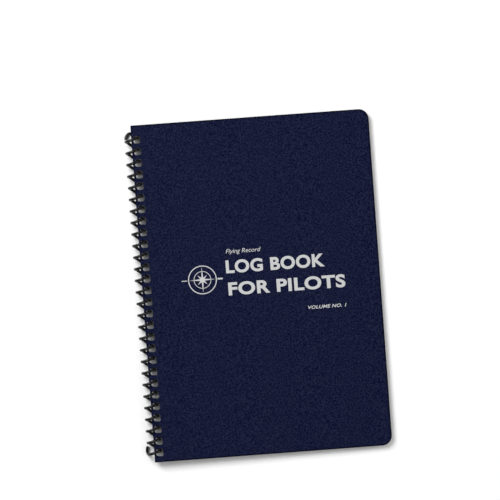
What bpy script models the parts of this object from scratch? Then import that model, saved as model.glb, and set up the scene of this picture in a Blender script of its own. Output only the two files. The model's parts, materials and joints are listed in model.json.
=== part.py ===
"""A coil-bound pilot logbook, closed, lying front cover up on a table.

The book is built in its own "book frame": the origin is on the hinge line that every sheet turns about, +X runs
from the spine to the fore edge, +Y to the head and +Z out of the front cover. The coil stands prouder than the back
cover, so a closed book leans on its coil and on its fore edge, and the empty named book_frame gives it that lean.

All lengths are in metres.
"""

import math

import bmesh
import bpy
from mathutils import Vector

MM = 0.001

# Covers and leaves
COVER_WIDTH = 152.4 * MM
COVER_HEIGHT = 215.9 * MM
COVER_THICKNESS = 0.5 * MM
COVER_OVERHANG = 0.8 * MM  # beyond the leaves at head, tail and fore edge
CORNER_RADIUS = 6.35 * MM
CORNER_STEPS = 4
LEAF_COUNT = 18
LEAF_THICKNESS = 0.11 * MM
BOOK_THICKNESS = 4.0 * MM

# Coil binding
COIL_DIAMETER = 10.0 * MM  # outside
WIRE_DIAMETER = 1.9 * MM
HOLE_COUNT = 28
PITCH = 7.42 * MM
HOLE_WIDTH = 4.4 * MM  # across the spine
HOLE_HEIGHT = 4.8 * MM  # along the spine
COVER_HOLE_CORNER = 0.4 * MM  # cut off each corner of a cover's holes
ROW_SHIFT = -1.5 * MM  # from the middle of the spine edge to the middle of the row of holes
SPINE_EDGE = 0.1 * MM  # from the hinge line to the sheets' spine edge
COIL_OFFSET = 0.5 * MM  # from the hinge line to the coil's axis
WIRE_PLAY = 0.48 * MM  # from the wire to the spine side of the holes, when the front cover is turned right over
POINTS_PER_TURN = 24
WIRE_BEVEL_RESOLUTION = 1  # gives a six-sided wire

COIL_RADIUS = COIL_DIAMETER / 2
WIRE_RADIUS = WIRE_DIAMETER / 2
HELIX_RADIUS = COIL_RADIUS - WIRE_RADIUS
HALF_BOOK = BOOK_THICKNESS / 2
LEAF_WIDTH = COVER_WIDTH - COVER_OVERHANG
LEAF_HEIGHT = COVER_HEIGHT - 2 * COVER_OVERHANG
LEAF_SPACING = (BOOK_THICKNESS - 2 * COVER_THICKNESS) / LEAF_COUNT
FORE_EDGE = SPINE_EDGE + COVER_WIDTH

# The wire leaves the front cover on a slant, so its section there is an ellipse. Its spine side is nearest to the
# hinge line when the cover is turned right over, and the holes sit as far from the spine as that lets them.
EXIT_ANGLE = math.asin(HALF_BOOK / HELIX_RADIUS)
WIRE_SPINE_SIDE = HELIX_RADIUS * math.cos(EXIT_ANGLE) - WIRE_RADIUS / math.cos(EXIT_ANGLE) - COIL_OFFSET
HOLE_CENTRE = WIRE_SPINE_SIDE - WIRE_PLAY + HOLE_WIDTH / 2

# The turns climb gently over the front and steeply under the back, which lets a sheet swing from one side of
# the coil to the other inside the length of its holes.
FRONT_EASE = 0.8
SIDE_EASE = 0.45

# The crimped ends, in mm: x and z from the coil's axis, and y from the middle of the nearest hole. They lie below
# every sheet.
HEAD_END = (
    (-3.95, 0.55, -3.36),
    (-3.95, 1.45, -3.40),
    (-3.70, 2.45, -3.50),
    (-3.15, 3.35, -3.62),
    (-2.35, 4.10, -3.78),
)
FOOT_END = (
    (-4.00, -1.10, -2.05),
    (-4.25, -1.15, -2.95),
    (-4.60, -0.55, -3.42),
    (-4.82, 0.45, -3.50),
    (-4.90, 1.50, -3.48),
    (-4.78, 2.60, -3.44),
    (-4.50, 3.40, -3.40),
    (-4.25, 4.05, -3.38),
)
HEAD_ANGLE = -105  # where the head end leaves the helix, in degrees
FOOT_ANGLE = 180

# The lean that puts the coil and the back cover's fore edge on the table together
REACH = FORE_EDGE - COIL_OFFSET
LEAN = math.asin(COIL_RADIUS / math.hypot(REACH, HALF_BOOK)) - math.atan2(HALF_BOOK, REACH)


def clear_scene():
    for obj in list(bpy.data.objects):
        bpy.data.objects.remove(obj, do_unlink=True)


def material(name, colour, roughness, metallic=0.0):
    made = bpy.data.materials.new(name)
    made.use_nodes = True
    shader = made.node_tree.nodes["Principled BSDF"]
    shader.inputs["Base Color"].default_value = (*colour, 1.0)
    shader.inputs["Roughness"].default_value = roughness
    shader.inputs["Metallic"].default_value = metallic
    return made


def book_frame():
    """The empty on the hinge line that carries every sheet and the coil."""
    frame = bpy.data.objects.new("book_frame", None)
    frame.rotation_euler = (0.0, LEAN, 0.0)
    bpy.context.scene.collection.objects.link(frame)
    return frame


def stand_on_origin(frame):
    """Moves the book so that the origin is under its middle, at table height."""
    bpy.context.view_layer.update()
    graph = bpy.context.evaluated_depsgraph_get()
    corners = []
    for obj in frame.children:
        evaluated = obj.evaluated_get(graph)
        mesh = evaluated.to_mesh()
        corners += [evaluated.matrix_world @ corner.co for corner in mesh.vertices]
        evaluated.to_mesh_clear()
    low, high = (Vector(pick(corner[i] for corner in corners) for i in range(3)) for pick in (min, max))
    frame.location = (-(low.x + high.x) / 2, -(low.y + high.y) / 2, -low.z)


def helix_point(angle):
    """A point on the wire's centreline. Angle 0 is inside the holes and pi/2 is over the front cover."""
    climb = angle + FRONT_EASE * math.cos(angle) - SIDE_EASE * math.sin(2 * angle)
    return (
        COIL_OFFSET + HELIX_RADIUS * math.cos(angle),
        -PITCH / (2 * math.pi) * climb,
        HELIX_RADIUS * math.sin(angle),
    )


def hole_positions():
    """The y of each punched hole, from the tail of the book to its head."""
    return [ROW_SHIFT + (k - (HOLE_COUNT - 1) / 2) * PITCH for k in range(HOLE_COUNT)]


def sheet_outline(width, height):
    """The sheet's outer edge, anticlockwise, square at the spine and round at the fore edge."""
    half = height / 2
    points = [(SPINE_EDGE, half), (SPINE_EDGE, -half)]
    for side, start in ((-1, -math.pi / 2), (1, 0.0)):
        centre_x = SPINE_EDGE + width - CORNER_RADIUS
        centre_y = side * (half - CORNER_RADIUS)
        for step in range(CORNER_STEPS + 1):
            angle = start + step / CORNER_STEPS * math.pi / 2
            points.append(
                (centre_x + CORNER_RADIUS * math.cos(angle), centre_y + CORNER_RADIUS * math.sin(angle))
            )
    return points


def hole_outline(centre_y, corner):
    """One punched hole, anticlockwise, with this much cut off each corner. A leaf's holes keep theirs."""
    points = []
    for x, y in ((1, 1), (-1, 1), (-1, -1), (1, -1)):
        corner_x = HOLE_CENTRE + x * HOLE_WIDTH / 2
        corner_y = centre_y + y * HOLE_HEIGHT / 2
        if corner == 0:
            points.append((corner_x, corner_y))
            continue
        cut = [(corner_x, corner_y - y * corner), (corner_x - x * corner, corner_y)]
        points += cut if x == y else cut[::-1]
    return points


def loop_of_edges(bm, points, height):
    corners = [bm.verts.new((x, y, height)) for x, y in points]
    return [bm.edges.new((a, b)) for a, b in zip(corners, corners[1:] + corners[:1])]


def punched_sheet(name, width, height, thickness, bottom, hole_corner, look, frame):
    """One flat sheet with its row of holes. bottom is the height of its lower face in the book frame."""
    bm = bmesh.new()
    edges = loop_of_edges(bm, sheet_outline(width, height), bottom)
    for centre_y in hole_positions():
        edges += loop_of_edges(bm, hole_outline(centre_y, hole_corner), bottom)
    filled = bmesh.ops.triangle_fill(bm, use_beauty=True, use_dissolve=False, edges=edges, normal=(0, 0, 1))
    faces = [item for item in filled["geom"] if isinstance(item, bmesh.types.BMFace)]
    raised = bmesh.ops.extrude_face_region(bm, geom=faces)
    corners = [item for item in raised["geom"] if isinstance(item, bmesh.types.BMVert)]
    bmesh.ops.translate(bm, verts=corners, vec=(0.0, 0.0, thickness))
    bmesh.ops.recalc_face_normals(bm, faces=bm.faces)
    mesh = bpy.data.meshes.new(name)
    bm.to_mesh(mesh)
    bm.free()
    mesh.materials.append(look)
    sheet = bpy.data.objects.new(name, mesh)
    sheet.parent = frame
    bpy.context.scene.collection.objects.link(sheet)
    return sheet


def crimped_end(points, hole_y):
    return [(COIL_OFFSET + x * MM, hole_y + y * MM, z * MM) for x, y, z in points]


def coil_points():
    """The wire's centreline from its crimped head end to its crimped foot end."""
    holes = hole_positions()
    step = 360 / POINTS_PER_TURN
    first = round(HEAD_ANGLE / step)
    last = (HOLE_COUNT - 1) * POINTS_PER_TURN + round(FOOT_ANGLE / step)
    start_y = holes[-1] + PITCH / 4
    points = []
    for index in range(first, last + 1):
        x, y, z = helix_point(math.radians(index * step))
        points.append((x, y + start_y, z))
    return crimped_end(HEAD_END, holes[-1]) + points + crimped_end(FOOT_END, holes[0])


def coil(look, frame):
    curve = bpy.data.curves.new("coil", "CURVE")
    curve.dimensions = "3D"
    curve.bevel_depth = WIRE_RADIUS
    curve.bevel_resolution = WIRE_BEVEL_RESOLUTION
    curve.use_fill_caps = True
    points = coil_points()
    spline = curve.splines.new("POLY")
    spline.points.add(len(points) - 1)
    for target, point in zip(spline.points, points):
        target.co = (*point, 1.0)
    spline.use_smooth = True
    curve.materials.append(look)
    wire = bpy.data.objects.new("coil", curve)
    wire.parent = frame
    bpy.context.scene.collection.objects.link(wire)
    return wire


def build():
    clear_scene()
    frame = book_frame()
    cover_look = material("cover_board", (0.011, 0.014, 0.046), 0.75)
    paper_look = material("ledger_paper", (0.88, 0.88, 0.86), 0.9)
    wire_look = material("coil_plastic", (0.008, 0.008, 0.009), 0.35)

    cover = (COVER_WIDTH, COVER_HEIGHT, COVER_THICKNESS)
    punched_sheet("back_cover", *cover, -HALF_BOOK, COVER_HOLE_CORNER, cover_look, frame)
    punched_sheet("front_cover", *cover, HALF_BOOK - COVER_THICKNESS, COVER_HOLE_CORNER, cover_look, frame)

    lowest = -HALF_BOOK + COVER_THICKNESS + (LEAF_SPACING - LEAF_THICKNESS) / 2
    for number in range(1, LEAF_COUNT + 1):
        bottom = lowest + (LEAF_COUNT - number) * LEAF_SPACING
        name = f"leaf_{number:02d}"
        punched_sheet(name, LEAF_WIDTH, LEAF_HEIGHT, LEAF_THICKNESS, bottom, 0.0, paper_look, frame)

    coil(wire_look, frame)
    stand_on_origin(frame)


build()
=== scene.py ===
"""The looks of a coil-bound pilot logbook: navy covers, ruled leaves, foil print and a black plastic coil.

Every piece is modelled in the book frame, with its origin on the line that the sheets turn about, +X towards
the fore edge, +Y towards the head and +Z out of the front cover. to_place then moves it to where the closed
book lies. Lengths are in metres, and those of the print are in mm.
"""

import json
import math

import bmesh
import bpy
from mathutils import Matrix, Vector


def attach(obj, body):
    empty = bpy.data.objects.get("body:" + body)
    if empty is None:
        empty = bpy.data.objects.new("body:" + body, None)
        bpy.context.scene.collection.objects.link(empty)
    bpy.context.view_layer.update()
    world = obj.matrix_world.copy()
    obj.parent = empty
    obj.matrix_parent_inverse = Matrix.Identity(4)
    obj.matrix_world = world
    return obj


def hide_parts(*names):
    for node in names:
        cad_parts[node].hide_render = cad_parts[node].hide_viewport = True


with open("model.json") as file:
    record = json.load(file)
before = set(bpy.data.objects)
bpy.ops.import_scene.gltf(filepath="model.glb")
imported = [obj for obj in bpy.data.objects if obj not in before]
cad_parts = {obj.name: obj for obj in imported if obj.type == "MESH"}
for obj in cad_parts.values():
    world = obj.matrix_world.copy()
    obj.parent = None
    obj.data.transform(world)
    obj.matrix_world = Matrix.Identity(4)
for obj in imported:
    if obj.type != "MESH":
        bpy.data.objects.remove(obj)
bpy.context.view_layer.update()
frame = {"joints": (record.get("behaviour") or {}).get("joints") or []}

MM = 0.001

# Covers and leaves
COVER_WIDTH = 152.4 * MM
COVER_HEIGHT = 215.9 * MM
COVER_THICKNESS = 0.5 * MM
COVER_OVERHANG = 0.8 * MM
CORNER_RADIUS = 6.35 * MM
SPINE_CORNER_RADIUS = 0.4 * MM
COVER_EASE = 0.06 * MM  # the die rounds a cover's edges over by this much
PAINTED_EDGE_SHADE_WIDTH = 1.3 * MM  # the width of the strip along a cover's edge that is painted darker, as painted shade at the edge
LEAF_COUNT = 18
LEAF_THICKNESS = 0.11 * MM
BOOK_THICKNESS = 4.0 * MM
SPINE_EDGE = 0.1 * MM

# Coil binding
COIL_DIAMETER = 10.0 * MM
WIRE_DIAMETER = 1.9 * MM
HOLE_COUNT = 28
PITCH = 7.42 * MM
HOLE_WIDTH = 4.4 * MM
HOLE_HEIGHT = 4.8 * MM
HOLE_CORNER_RADIUS = 1.3 * MM
ROW_SHIFT = -1.5 * MM
COIL_OFFSET = 0.5 * MM
WIRE_PLAY = 0.48 * MM
FRONT_EASE = 0.8
SIDE_EASE = 0.45
POINTS_PER_TURN = 48
HEAD_ANGLE = -105
FOOT_ANGLE = 180
HEAD_END = (
    (-3.95, 0.55, -3.36),
    (-3.95, 1.45, -3.40),
    (-3.70, 2.45, -3.50),
    (-3.15, 3.35, -3.62),
    (-2.35, 4.10, -3.78),
)
FOOT_END = (
    (-4.00, -1.10, -2.05),
    (-4.25, -1.15, -2.95),
    (-4.60, -0.55, -3.42),
    (-4.82, 0.45, -3.50),
    (-4.90, 1.50, -3.48),
    (-4.78, 2.60, -3.44),
    (-4.50, 3.40, -3.40),
    (-4.25, 4.05, -3.38),
)

COIL_RADIUS = COIL_DIAMETER / 2
WIRE_RADIUS = WIRE_DIAMETER / 2
HELIX_RADIUS = COIL_RADIUS - WIRE_RADIUS
HALF_BOOK = BOOK_THICKNESS / 2
LEAF_WIDTH = COVER_WIDTH - COVER_OVERHANG
LEAF_HEIGHT = COVER_HEIGHT - 2 * COVER_OVERHANG
LEAF_SPACING = (BOOK_THICKNESS - 2 * COVER_THICKNESS) / LEAF_COUNT
FORE_EDGE = SPINE_EDGE + COVER_WIDTH
EXIT_ANGLE = math.asin(HALF_BOOK / HELIX_RADIUS)
WIRE_SPINE_SIDE = HELIX_RADIUS * math.cos(EXIT_ANGLE) - WIRE_RADIUS / math.cos(EXIT_ANGLE) - COIL_OFFSET
HOLE_CENTRE = WIRE_SPINE_SIDE - WIRE_PLAY + HOLE_WIDTH / 2
REACH = FORE_EDGE - COIL_OFFSET
LEAN = math.asin(COIL_RADIUS / math.hypot(REACH, HALF_BOOK)) - math.atan2(HALF_BOOK, REACH)

AXIS = Vector(frame["joints"][0]["pos_m"])
BOOK = Matrix.Translation(AXIS) @ Matrix.Rotation(LEAN, 4, "Y")
TURN_OVER = Matrix.Rotation(math.pi, 4, "Y")

# Print, in mm from a page's own top left corner as it is read
INK_HEIGHT = 0.012 * MM
RULE_WIDTH = 0.3
PAGE_TOP = 11.35
ROW_HEIGHT = 11.32
ROW_COUNT = 15
LEFT_COLUMNS = (7.6, 23.9, 54.7, 68.4, 82.3, 96.6, 135.6)
LEFT_HEADER = 12.3
TIME_SPLIT = 6.1
RIGHT_COLUMNS = (15.5, 69.7, 84.7, 99.3, 113.8)
RIGHT_HEADER = 10.7
CHECK_LEFT = 116.4
CHECK_RULES = (123.4, 144.0)
CHECKS = (  # each with the number of its dates
    ("Oil", 1),
    ("Hours", 1),
    ("Yearly", 1),
    ("Radio", 3),
    ("Static ports", 1),
    ("Beacon", 1),
    ("Charts", 1),
)
CHECK_STEP = 16.5
DUE_DROP = 5.6  # from a check's name to its first date
DUE_STEP = 5.25
HEADING_SIZE = 1.9
HEADING_WEIGHT = 0.02
CHECK_SIZE = 1.7
NOTE_SIZE = 1.4
TITLE_SIZE = 8.4
TITLE_WEIGHT = 0.035
ITALIC = 0.25
FONT_CAPITAL = 0.729  # height of a capital in a font of size 1

# Board colours, from the low to the high parts of the grain, the high one also painting the grey sheen that
# the grain's bumps catch, and the painted shade at a cut edge
NAVY_LOW = "#040723"
NAVY_HIGH_WITH_PAINTED_SHEEN = "#1c2037"
# painted shade for the strip along a cover's edge
NAVY_PAINTED_EDGE_SHADE = "#03040f"

# How bright the room is, from the horizon (0) to straight up (1)
ROOM_LIGHT = ((0.25, 0.02), (0.5, 0.75), (0.8, 0.75), (0.96, 0.12))


# Scene helpers


def colour(code):
    """A linear colour from an sRGB code such as '#1b2040'."""
    values = [int(code[i : i + 2], 16) / 255 for i in (1, 3, 5)]
    return [v / 12.92 if v <= 0.04045 else ((v + 0.055) / 1.055) ** 2.4 for v in values] + [1.0]


def node(tree, kind, settings=None, **links):
    """Adds a node with its settings. Each link is a socket or a plain value for the input of that name."""
    made = tree.nodes.new(kind)
    for key, value in (settings or {}).items():
        setattr(made, key, value)
    for key, value in links.items():
        target = made.inputs[int(key[1:])] if key[0] == "_" else made.inputs[key.replace("_", " ")]
        if isinstance(value, bpy.types.NodeSocket):
            tree.links.new(value, target)
        else:
            target.default_value = value
    return made


def new_material(name):
    """An empty material and its shader."""
    made = bpy.data.materials.new(name)
    made.use_nodes = True
    return made, made.node_tree, made.node_tree.nodes["Principled BSDF"]


def to_place(bm, name, material, smooth=False):
    """Makes the finished object from a bmesh in the book frame."""
    bmesh.ops.transform(bm, matrix=BOOK, verts=bm.verts)
    mesh = bpy.data.meshes.new(name)
    bm.to_mesh(mesh)
    bm.free()
    mesh.materials.append(material)
    if smooth:
        mesh.shade_smooth()
        mesh.set_sharp_from_angle(angle=math.radians(40))
    obj = bpy.data.objects.new(name, mesh)
    bpy.context.scene.collection.objects.link(obj)
    return obj


# Sheets


def arc(centre_x, centre_y, radius, start, segments):
    """A quarter circle of points, anticlockwise from the start angle in degrees."""
    angles = [math.radians(start + 90 * step / segments) for step in range(segments + 1)]
    return [(centre_x + radius * math.cos(a), centre_y + radius * math.sin(a)) for a in angles]


def rounded_rectangle(left, right, bottom, top, radii, segments):
    """Anticlockwise from the bottom right. radii are those of the right-hand and left-hand corners."""
    near, far = radii
    return (
        arc(right - near, bottom + near, near, -90, segments)
        + arc(right - near, top - near, near, 0, segments)
        + arc(left + far, top - far, far, 90, segments)
        + arc(left + far, bottom + far, far, 180, segments)
    )


def hole_positions():
    """The y of each hole, from the tail to the head."""
    return [ROW_SHIFT + (k - (HOLE_COUNT - 1) / 2) * PITCH for k in range(HOLE_COUNT)]


def outline(width, height, segments):
    """The sheet's edge, with a wide radius at the fore edge and a small one at the spine."""
    sides = (SPINE_EDGE, SPINE_EDGE + width, -height / 2, height / 2)
    return rounded_rectangle(*sides, (CORNER_RADIUS, SPINE_CORNER_RADIUS), segments)


def hole(y, segments):
    across, along = HOLE_WIDTH / 2, HOLE_HEIGHT / 2
    sides = (HOLE_CENTRE - across, HOLE_CENTRE + across, y - along, y + along)
    return rounded_rectangle(*sides, (HOLE_CORNER_RADIUS, HOLE_CORNER_RADIUS), segments)


def loop_of_edges(bm, points, height):
    corners = [bm.verts.new((x, y, height)) for x, y in points]
    return [bm.edges.new((a, b)) for a, b in zip(corners, corners[1:] + corners[:1])]


def cut_edge(edge):
    """Whether an edge runs round the rim of a sheet's upper or lower face."""
    level = abs(edge.verts[0].co.z - edge.verts[1].co.z) < 0.01 * MM
    return level and edge.calc_face_angle() > math.radians(60)


def punched_sheet(name, size, bottom, ease, segments, material):
    """A flat sheet with its row of holes, and with its cut edges eased if ease isn't 0."""
    width, height, thickness = size
    bm = bmesh.new()
    edges = loop_of_edges(bm, outline(width, height, 2 * segments), bottom)
    for y in hole_positions():
        edges += loop_of_edges(bm, hole(y, segments), bottom)
    filled = bmesh.ops.triangle_fill(
        bm, use_beauty=True, use_dissolve=False, edges=edges, normal=(0, 0, 1)
    )
    faces = [item for item in filled["geom"] if isinstance(item, bmesh.types.BMFace)]
    raised = bmesh.ops.extrude_face_region(bm, geom=faces)
    corners = [item for item in raised["geom"] if isinstance(item, bmesh.types.BMVert)]
    bmesh.ops.translate(bm, verts=corners, vec=(0, 0, thickness))
    bmesh.ops.recalc_face_normals(bm, faces=bm.faces)
    if ease:
        bmesh.ops.bevel(
            bm,
            geom=[edge for edge in bm.edges if cut_edge(edge)],
            offset=ease,
            offset_type="OFFSET",
            segments=1,
            profile=0.5,
            affect="EDGES",
            material=-1,
        )
    return to_place(bm, name, material)


# Coil


def helix_point(angle, start_y):
    """The wire's centreline. Angle 0 is inside the holes and 90 degrees is over the front cover."""
    turn = math.radians(angle)
    climb = turn + FRONT_EASE * math.cos(turn) - SIDE_EASE * math.sin(2 * turn)
    y = start_y - PITCH / (2 * math.pi) * climb
    return Vector((COIL_OFFSET + HELIX_RADIUS * math.cos(turn), y, HELIX_RADIUS * math.sin(turn)))


def smooth_through(points, pieces=4):
    """Extra points on a smooth curve through these ones."""
    found = [points[0]]
    for k in range(len(points) - 1):
        before = points[max(k - 1, 0)]
        a, b = points[k], points[k + 1]
        after = points[min(k + 2, len(points) - 1)]
        for step in range(1, pieces + 1):
            t = step / pieces
            bend = (b - before) * t * (1 - t) ** 2 / 2 - (after - a) * t * t * (1 - t) / 2
            found.append(a * (1 + 2 * t) * (1 - t) ** 2 + b * t * t * (3 - 2 * t) + bend)
    return found


def coil_points():
    holes = hole_positions()
    start_y = holes[-1] + PITCH / 4
    step = 360 / POINTS_PER_TURN
    first = round(HEAD_ANGLE / step)
    last = (HOLE_COUNT - 1) * POINTS_PER_TURN + round(FOOT_ANGLE / step)
    turns = [helix_point(k * step, start_y) for k in range(first, last + 1)]
    ends = []
    for end, hole_y in ((HEAD_END, holes[-1]), (FOOT_END, holes[0])):
        ends.append([Vector((COIL_OFFSET + x * MM, hole_y + y * MM, z * MM)) for x, y, z in end])
    head = smooth_through(ends[0] + [turns[0], turns[3]])[:-5]
    foot = smooth_through([turns[-4], turns[-1]] + ends[1])[5:]
    return head + turns + foot


def coil(material):
    """One length of round plastic wire, wound through every hole, with both ends crimped over."""
    curve = bpy.data.curves.new("coil", "CURVE")
    curve.dimensions = "3D"
    curve.bevel_depth = WIRE_RADIUS
    curve.bevel_resolution = 3
    curve.use_fill_caps = True
    points = coil_points()
    spline = curve.splines.new("POLY")
    spline.points.add(len(points) - 1)
    for target, point in zip(spline.points, points):
        target.co = (*point, 1.0)
    spline.use_smooth = True
    return to_place(curve_mesh(curve), "coil_wire", material, smooth=True)


def curve_mesh(curve):
    """A bmesh of a curve or a text, welded and facing out."""
    holder = bpy.data.objects.new(curve.name, curve)
    bpy.context.scene.collection.objects.link(holder)
    graph = bpy.context.evaluated_depsgraph_get()
    evaluated = holder.evaluated_get(graph)
    bm = bmesh.new()
    bm.from_mesh(evaluated.to_mesh())
    evaluated.to_mesh_clear()
    bpy.data.objects.remove(holder)
    bmesh.ops.remove_doubles(bm, verts=bm.verts, dist=0.1e-6)
    bmesh.ops.recalc_face_normals(bm, faces=bm.faces)
    return bm


# Print


def lettering(text, left, baseline, size, width=None, slant=0.0, weight=0.0, align="LEFT", fineness=2):
    """Flat raised letters in mm. size is a capital's height, and width stretches the line to that length."""
    curve = bpy.data.curves.new("lettering", "FONT")
    curve.body = text
    curve.size = 1.0
    curve.shear = slant
    curve.offset = weight
    curve.space_character = 1.0 + 2.0 * weight
    curve.resolution_u = fineness
    curve.extrude = 0.5
    bm = curve_mesh(curve)
    bmesh.ops.translate(bm, verts=bm.verts, vec=(0, 0, 0.5))
    xs = [v.co.x for v in bm.verts]
    scale = size / (FONT_CAPITAL + weight)
    across = width / (max(xs) - min(xs)) if width else scale
    shift = {"LEFT": min(xs), "CENTER": (min(xs) + max(xs)) / 2, "RIGHT": max(xs)}[align]
    bmesh.ops.translate(bm, verts=bm.verts, vec=(-shift, weight / 2, 0))
    bmesh.ops.scale(bm, verts=bm.verts, vec=(across * MM, scale * MM, INK_HEIGHT))
    bmesh.ops.translate(bm, verts=bm.verts, vec=(left * MM, -baseline * MM, 0))
    return bm


def bar(left, right, top, bottom):
    """A flat raised block in mm."""
    bm = bmesh.new()
    bmesh.ops.create_cube(bm, size=1.0)
    middle = Vector(((left + right) / 2 * MM, -(top + bottom) / 2 * MM, INK_HEIGHT / 2))
    size = ((right - left) * MM, (bottom - top) * MM, INK_HEIGHT)
    bmesh.ops.scale(bm, verts=bm.verts, vec=size)
    bmesh.ops.translate(bm, verts=bm.verts, vec=middle)
    return bm


def rule_across(y, left, right):
    return bar(left - RULE_WIDTH / 2, right + RULE_WIDTH / 2, y - RULE_WIDTH / 2, y + RULE_WIDTH / 2)


def rule_down(x, top, bottom):
    return bar(x - RULE_WIDTH / 2, x + RULE_WIDTH / 2, top + RULE_WIDTH / 2, bottom - RULE_WIDTH / 2)


def joined(parts):
    """One bmesh of several."""
    whole = bmesh.new()
    for part in parts:
        mesh = bpy.data.meshes.new("part")
        part.to_mesh(mesh)
        part.free()
        whole.from_mesh(mesh)
        bpy.data.meshes.remove(mesh)
    return whole


def heading(text, x, y, align="CENTER"):
    return lettering(text, x, y, HEADING_SIZE, weight=HEADING_WEIGHT, align=align)


def middle(columns, k):
    return (columns[k] + columns[k + 1]) / 2


def table(columns, header):
    """The rules of a table: its rows across, and its columns cut where the rows cross them."""
    bottom = PAGE_TOP + header + ROW_COUNT * ROW_HEIGHT
    rows = [PAGE_TOP] + [PAGE_TOP + header + k * ROW_HEIGHT for k in range(ROW_COUNT + 1)]
    parts = [rule_across(y, columns[0], columns[-1]) for y in rows]
    for top, low in zip(rows, rows[1:]):
        parts += [rule_down(x, top, low) for x in columns]
    return parts, bottom


def left_page():
    """The verso: date, pilot, time out, in and total, and where to."""
    outer = [LEFT_COLUMNS[k] for k in (0, 1, 2, 5, 6)]
    split = PAGE_TOP + TIME_SPLIT
    body_top = PAGE_TOP + LEFT_HEADER
    rows = [body_top + k * ROW_HEIGHT for k in range(ROW_COUNT + 1)]
    parts = [rule_across(y, outer[0], outer[-1]) for y in [PAGE_TOP] + rows]
    parts += [rule_down(x, PAGE_TOP, body_top) for x in outer]
    for top, low in zip(rows, rows[1:]):
        parts += [rule_down(x, top, low) for x in LEFT_COLUMNS]
    time_left, time_right = LEFT_COLUMNS[2] + RULE_WIDTH, LEFT_COLUMNS[5] - RULE_WIDTH
    parts.append(rule_across(split, time_left, time_right))
    parts += [rule_down(x, split, body_top) for x in LEFT_COLUMNS[3:5]]

    time = (LEFT_COLUMNS[2] + LEFT_COLUMNS[5]) / 2
    parts += [
        heading("Date", LEFT_COLUMNS[0] + 1.8, PAGE_TOP + 5.2, "LEFT"),
        heading("Year", LEFT_COLUMNS[0] + 1.8, PAGE_TOP + 9.4, "LEFT"),
        heading("Pilot", middle(LEFT_COLUMNS, 1), PAGE_TOP + 7.3),
        heading("Time", time, PAGE_TOP + 4.3),
        heading("Out", middle(LEFT_COLUMNS, 2), PAGE_TOP + 10.4),
        heading("In", middle(LEFT_COLUMNS, 3), PAGE_TOP + 10.4),
        heading("Total", middle(LEFT_COLUMNS, 4), PAGE_TOP + 10.4),
        heading("Destination", middle(LEFT_COLUMNS, 5), PAGE_TOP + 5.2),
        heading("and reason", middle(LEFT_COLUMNS, 5), PAGE_TOP + 9.4),
        heading("Total", LEFT_COLUMNS[4] - 1.0, rows[-1] + 6.6, "RIGHT"),
    ]
    return joined(parts)


def right_page():
    """The recto: faults and checks, and a column of dates when each check is due."""
    parts, bottom = table(RIGHT_COLUMNS, RIGHT_HEADER)

    parts += [
        heading("Faults and", RIGHT_COLUMNS[0] + 1.8, PAGE_TOP + 4.4, "LEFT"),
        heading("checks", RIGHT_COLUMNS[0] + 1.8, PAGE_TOP + 8.4, "LEFT"),
        heading("Seen", middle(RIGHT_COLUMNS, 1), PAGE_TOP + 4.4),
        heading("by", middle(RIGHT_COLUMNS, 1), PAGE_TOP + 8.4),
        heading("Date", middle(RIGHT_COLUMNS, 2), PAGE_TOP + 6.5),
        heading("Oil", middle(RIGHT_COLUMNS, 3), PAGE_TOP + 4.4),
        heading("added", middle(RIGHT_COLUMNS, 3), PAGE_TOP + 8.4),
    ]
    y = PAGE_TOP + 3.1
    for check, dates in CHECKS:
        parts.append(lettering(check, CHECK_LEFT, y, CHECK_SIZE, slant=ITALIC))
        for k in range(dates):
            due = y + DUE_DROP + k * DUE_STEP
            parts.append(lettering("Due", CHECK_LEFT, due, CHECK_SIZE))
            parts.append(rule_across(due + 0.2, *CHECK_RULES))
        y += CHECK_STEP + (dates - 1) * DUE_STEP
    parts.append(lettering("Write down each check when it is made.", 80.0, bottom + 5.5, NOTE_SIZE))
    return joined(parts)


def on_page(bm, left, height):
    """Moves a page's print from its own top left corner to this left edge and height in the book frame."""
    bmesh.ops.translate(bm, verts=bm.verts, vec=(left, LEAF_HEIGHT / 2, height))
    return bm


def compass_star(reach, waist):
    """A four-pointed star with shorter points between, as a raised flat shape in mm."""
    bm = bmesh.new()
    corners = []
    for k in range(16):
        angle = k * math.tau / 16
        radius = (reach, waist, reach * 0.52, waist)[k % 4]
        corners.append(bm.verts.new((radius * MM * math.cos(angle), radius * MM * math.sin(angle), 0)))
    face = bm.faces.new(corners)
    raised = bmesh.ops.extrude_face_region(bm, geom=[face])
    top = [item for item in raised["geom"] if isinstance(item, bmesh.types.BMVert)]
    bmesh.ops.translate(bm, verts=top, vec=(0, 0, INK_HEIGHT))
    bmesh.ops.recalc_face_normals(bm, faces=bm.faces)
    return bm


def flat_ring(radius, width, segments=72):
    """A raised flat ring in mm, spun from its section."""
    bm = bmesh.new()
    inner, outer = (radius - width) * MM, radius * MM
    profile = ((inner, 0), (outer, 0), (outer, INK_HEIGHT), (inner, INK_HEIGHT))
    section = [bm.verts.new((x, 0, z)) for x, z in profile]
    edges = [bm.edges.new((a, b)) for a, b in zip(section, section[1:] + section[:1])]
    bmesh.ops.spin(
        bm,
        geom=section + edges,
        cent=(0, 0, 0),
        axis=(0, 0, 1),
        angle=math.tau,
        steps=segments,
        use_merge=True,
    )
    bmesh.ops.recalc_face_normals(bm, faces=bm.faces)
    return bm


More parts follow.
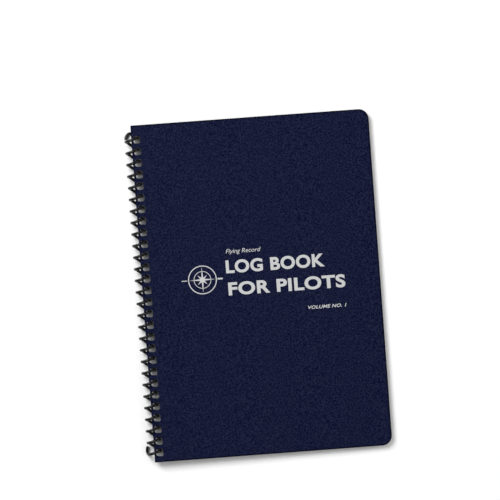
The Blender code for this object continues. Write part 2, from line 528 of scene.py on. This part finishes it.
def cover_print(material):
    """Silver foil on the front cover: a compass in a ring, and the book's plain title. In mm from the cover's
    top left corner."""
    dashes = [bar(-13.3, -9.7, -0.25, 0.25), bar(9.7, 13.0, -0.5, 0.5)]
    emblem = joined([flat_ring(9.2, 0.62), flat_ring(5.6, 0.4), compass_star(8.3, 1.5)] + dashes)
    bmesh.ops.translate(emblem, verts=emblem.verts, vec=(38.8 * MM, -101.7 * MM, 0))
    bm = joined(
        [
            emblem,
            lettering("Flying Record", 54.9, 86.0, 2.9, width=22.4, slant=ITALIC, fineness=4),
            lettering("LOG BOOK", 54.3, 98.5, TITLE_SIZE, width=63.3, weight=TITLE_WEIGHT, fineness=8),
            lettering("FOR PILOTS", 54.9, 112.7, TITLE_SIZE, width=75.0, weight=TITLE_WEIGHT, fineness=8),
            lettering("VOLUME NO. 1", 105.0, 125.3, 2.2, width=24.6, slant=ITALIC, weight=0.02, fineness=4),
        ]
    )
    bmesh.ops.translate(bm, verts=bm.verts, vec=(SPINE_EDGE, COVER_HEIGHT / 2, HALF_BOOK))
    return to_place(bm, "cover_foil", material)


# Materials


def vector_step(tree, operation, first, second):
    return node(tree, "ShaderNodeVectorMath", {"operation": operation}, _0=first, _1=second).outputs[0]


def distance_outward(tree, place):
    """How far a point of a cover is past the rectangle that its rounded corners are struck from. It reaches
    the corner radius at the head, tail and fore edges. The spine edge isn't counted."""
    middle_of_cover = BOOK @ Vector((SPINE_EDGE + COVER_WIDTH / 2, 0, 0))
    reach = (COVER_WIDTH / 2 - CORNER_RADIUS, COVER_HEIGHT / 2 - CORNER_RADIUS, 1)
    centred = vector_step(tree, "SUBTRACT", place, middle_of_cover)
    flipped = vector_step(tree, "MULTIPLY", centred, (1, -1, 1))
    folded = vector_step(tree, "MAXIMUM", centred, flipped)
    past = vector_step(tree, "SUBTRACT", folded, reach)
    corner = vector_step(tree, "MAXIMUM", past, (0, 0, 0))
    length = node(tree, "ShaderNodeVectorMath", {"operation": "LENGTH"}, _0=corner)
    return length.outputs["Value"]


def grained_board():
    """Card laminated with a navy film that is embossed with a fine leather grain. The grain breaks the light
    up into small grey speckles, which are painted into its colour as a painted sheen, and keeps the sheet
    matte. Painted shade darkens the strip along the edges."""
    made, tree, shader = new_material("Embossed navy cover board")
    place = node(tree, "ShaderNodeTexCoord").outputs["Object"]
    smooth = {"feature": "SMOOTH_F1"}
    pebbles = node(tree, "ShaderNodeTexVoronoi", smooth, Vector=place, Scale=1 / (0.8 * MM))
    fibres = node(
        tree, "ShaderNodeTexNoise", Vector=place, Scale=1 / (0.9 * MM), Detail=2.0, Roughness=0.6
    )
    grain = node(
        tree,
        "ShaderNodeMath",
        {"operation": "MULTIPLY_ADD"},
        _0=pebbles.outputs["Distance"],
        _1=0.5,
        _2=fibres.outputs["Fac"],
    )
    # the grain's tone, whose lighter speckles are a painted grey sheen standing in for light caught on the
    # grain's bumps
    tint = node(tree, "ShaderNodeValToRGB", Fac=grain.outputs[0])
    tint.color_ramp.elements[0].position = 0.55
    tint.color_ramp.elements[0].color = colour(NAVY_LOW)
    tint.color_ramp.elements[1].position = 0.9
    tint.color_ramp.elements[1].color = colour(NAVY_HIGH_WITH_PAINTED_SHEEN)
    # painted shade: the strip along the head, tail and fore edges is painted darker towards the edge
    painted_edge_shade = node(
        tree,
        "ShaderNodeMapRange",
        _0=distance_outward(tree, place),
        _1=CORNER_RADIUS - PAINTED_EDGE_SHADE_WIDTH,
        _2=CORNER_RADIUS,
    )
    with_painted_edge_shade = node(
        tree,
        "ShaderNodeMix",
        {"data_type": "RGBA"},
        _0=painted_edge_shade.outputs[0],
        _6=tint.outputs["Color"],
        _7=colour(NAVY_PAINTED_EDGE_SHADE),
    )
    raised = node(tree, "ShaderNodeBump", Strength=0.6, Distance=0.05 * MM, Height=grain.outputs[0])
    tree.links.new(with_painted_edge_shade.outputs[2], shader.inputs["Base Color"])
    tree.links.new(raised.outputs["Normal"], shader.inputs["Normal"])
    shader.inputs["Roughness"].default_value = 0.6
    shader.inputs["Specular IOR Level"].default_value = 0.02
    return made


def ledger_paper():
    """Uncoated white ledger paper, calendered smooth, with only a trace of fibre in its tone."""
    made, tree, shader = new_material("Uncoated white ledger paper")
    place = node(tree, "ShaderNodeTexCoord").outputs["Object"]
    fibres = node(
        tree, "ShaderNodeTexNoise", Vector=place, Scale=1 / (0.8 * MM), Detail=3.0, Roughness=0.6
    )
    tint = node(tree, "ShaderNodeValToRGB", Fac=fibres.outputs["Fac"])
    tint.color_ramp.elements[0].position = 0.3
    tint.color_ramp.elements[0].color = colour("#dfdeda")
    tint.color_ramp.elements[1].position = 0.7
    tint.color_ramp.elements[1].color = colour("#e8e7e4")
    tree.links.new(tint.outputs["Color"], shader.inputs["Base Color"])
    shader.inputs["Roughness"].default_value = 0.85
    shader.inputs["Specular IOR Level"].default_value = 0.2
    return made


def coil_plastic():
    """Black PVC filament, extruded round and wound hot, so it is smooth with a narrow highlight."""
    made, _, shader = new_material("Extruded black PVC filament")
    shader.inputs["Base Color"].default_value = colour("#060607")
    shader.inputs["Roughness"].default_value = 0.22
    shader.inputs["Specular IOR Level"].default_value = 0.3
    return made


def foil():
    """Silver pigment foil, hot stamped into the grain, which leaves it a flat pale grey with a soft sheen."""
    made, _, shader = new_material("Hot stamped silver foil")
    shader.inputs["Base Color"].default_value = colour("#b8b9b9")
    shader.inputs["Roughness"].default_value = 0.5
    shader.inputs["Metallic"].default_value = 0.2
    return made


def printing_ink():
    """Black offset ink, soaked a little into the paper, so it dries to a flat dark grey."""
    made, _, shader = new_material("Black offset printing ink")
    shader.inputs["Base Color"].default_value = colour("#2c2c2e")
    shader.inputs["Roughness"].default_value = 0.8
    shader.inputs["Specular IOR Level"].default_value = 0.2
    return made


def studio_white():
    """Matte white paper sweep under the book."""
    made, _, shader = new_material("White studio paper")
    shader.inputs["Base Color"].default_value = colour("#efefef")
    shader.inputs["Roughness"].default_value = 0.9
    shader.inputs["Specular IOR Level"].default_value = 0.0
    return made


# Stage


def floor():
    bm = bmesh.new()
    bmesh.ops.create_grid(bm, x_segments=1, y_segments=1, size=6.0)
    mesh = bpy.data.meshes.new("floor")
    bm.to_mesh(mesh)
    bm.free()
    mesh.materials.append(studio_white())
    obj = bpy.data.objects.new("floor", mesh)
    bpy.context.scene.collection.objects.link(obj)


def softbox(name, place, width, height, power):
    """A soft rectangular light that faces the book, wide along X."""
    lamp = bpy.data.lights.new(name, "AREA")
    lamp.shape = "RECTANGLE"
    lamp.size = width
    lamp.size_y = height
    lamp.energy = power
    obj = bpy.data.objects.new(name, lamp)
    obj.location = place
    obj.rotation_euler = (-Vector(place)).to_track_quat("-Z", "Y").to_euler()
    bpy.context.scene.collection.objects.link(obj)


def studio():
    """A room that is bright half way up its walls and dim above and below, with a key light beyond the head
    and the spine, and a weak card off the fore edge."""
    bpy.context.scene.view_settings.view_transform = "Standard"
    world = bpy.data.worlds.new("studio")
    bpy.context.scene.world = world
    world.use_nodes = True
    tree = world.node_tree
    place = node(tree, "ShaderNodeTexCoord").outputs["Generated"]
    height = node(tree, "ShaderNodeSeparateXYZ", Vector=place)
    tone = node(tree, "ShaderNodeValToRGB", Fac=height.outputs["Z"])
    ramp = tone.color_ramp
    for how_high, _ in ROOM_LIGHT[1:-1]:
        ramp.elements.new(how_high)
    for stop, (how_high, level) in zip(ramp.elements, ROOM_LIGHT):
        stop.position = how_high
        stop.color = (level, level, level, 1)
    tree.links.new(tone.outputs["Color"], tree.nodes["Background"].inputs["Color"])
    softbox("key", (-0.7, 0.8, 1.2), 0.8, 1.0, 27)
    softbox("card", (1.6, 0.2, 0.8), 0.8, 0.8, 6)


def camera():
    """Looks straight down from far off, turned so that the book lies about four degrees anticlockwise."""
    data = bpy.data.cameras.new("camera")
    obj = bpy.data.objects.new("camera", data)
    distance = 1.8
    field = 0.3208
    data.lens = data.sensor_width * distance / field
    data.clip_end = 20
    obj.location = (-0.0029, 0.0231, distance)
    obj.rotation_euler = (0, 0, math.radians(-4.2))
    bpy.context.scene.collection.objects.link(obj)
    bpy.context.scene.camera = obj


# The book


def build():
    board, paper, ink = grained_board(), ledger_paper(), printing_ink()

    cover_size = (COVER_WIDTH, COVER_HEIGHT, COVER_THICKNESS)
    for name, bottom in (("back_cover", -HALF_BOOK), ("front_cover", HALF_BOOK - COVER_THICKNESS)):
        cover = punched_sheet(name + "_board", cover_size, bottom, COVER_EASE, 6, board)
        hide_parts(name)
        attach(cover, name)

    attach(cover_print(foil()), "front_cover")

    wire = coil(coil_plastic())
    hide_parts("coil")
    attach(wire, "back_cover")

    leaf_size = (LEAF_WIDTH, LEAF_HEIGHT, LEAF_THICKNESS)
    lowest = -HALF_BOOK + COVER_THICKNESS + (LEAF_SPACING - LEAF_THICKNESS) / 2
    recto = on_page(right_page(), SPINE_EDGE, LEAF_THICKNESS)
    verso = on_page(left_page(), -SPINE_EDGE - LEAF_WIDTH, 0)
    bmesh.ops.transform(verso, matrix=TURN_OVER, verts=verso.verts)
    print_on_leaf = joined([recto, verso])
    for number in range(1, LEAF_COUNT + 1):
        name = f"leaf_{number:02d}"
        bottom = lowest + (LEAF_COUNT - number) * LEAF_SPACING
        leaf = punched_sheet(name + "_paper", leaf_size, bottom, 0, 4, paper)
        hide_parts(name)
        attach(leaf, name)
        ruled = print_on_leaf.copy()
        bmesh.ops.translate(ruled, verts=ruled.verts, vec=(0, 0, bottom))
        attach(to_place(ruled, name + "_print", ink), name)
    print_on_leaf.free()


build()
floor()
studio()
camera()
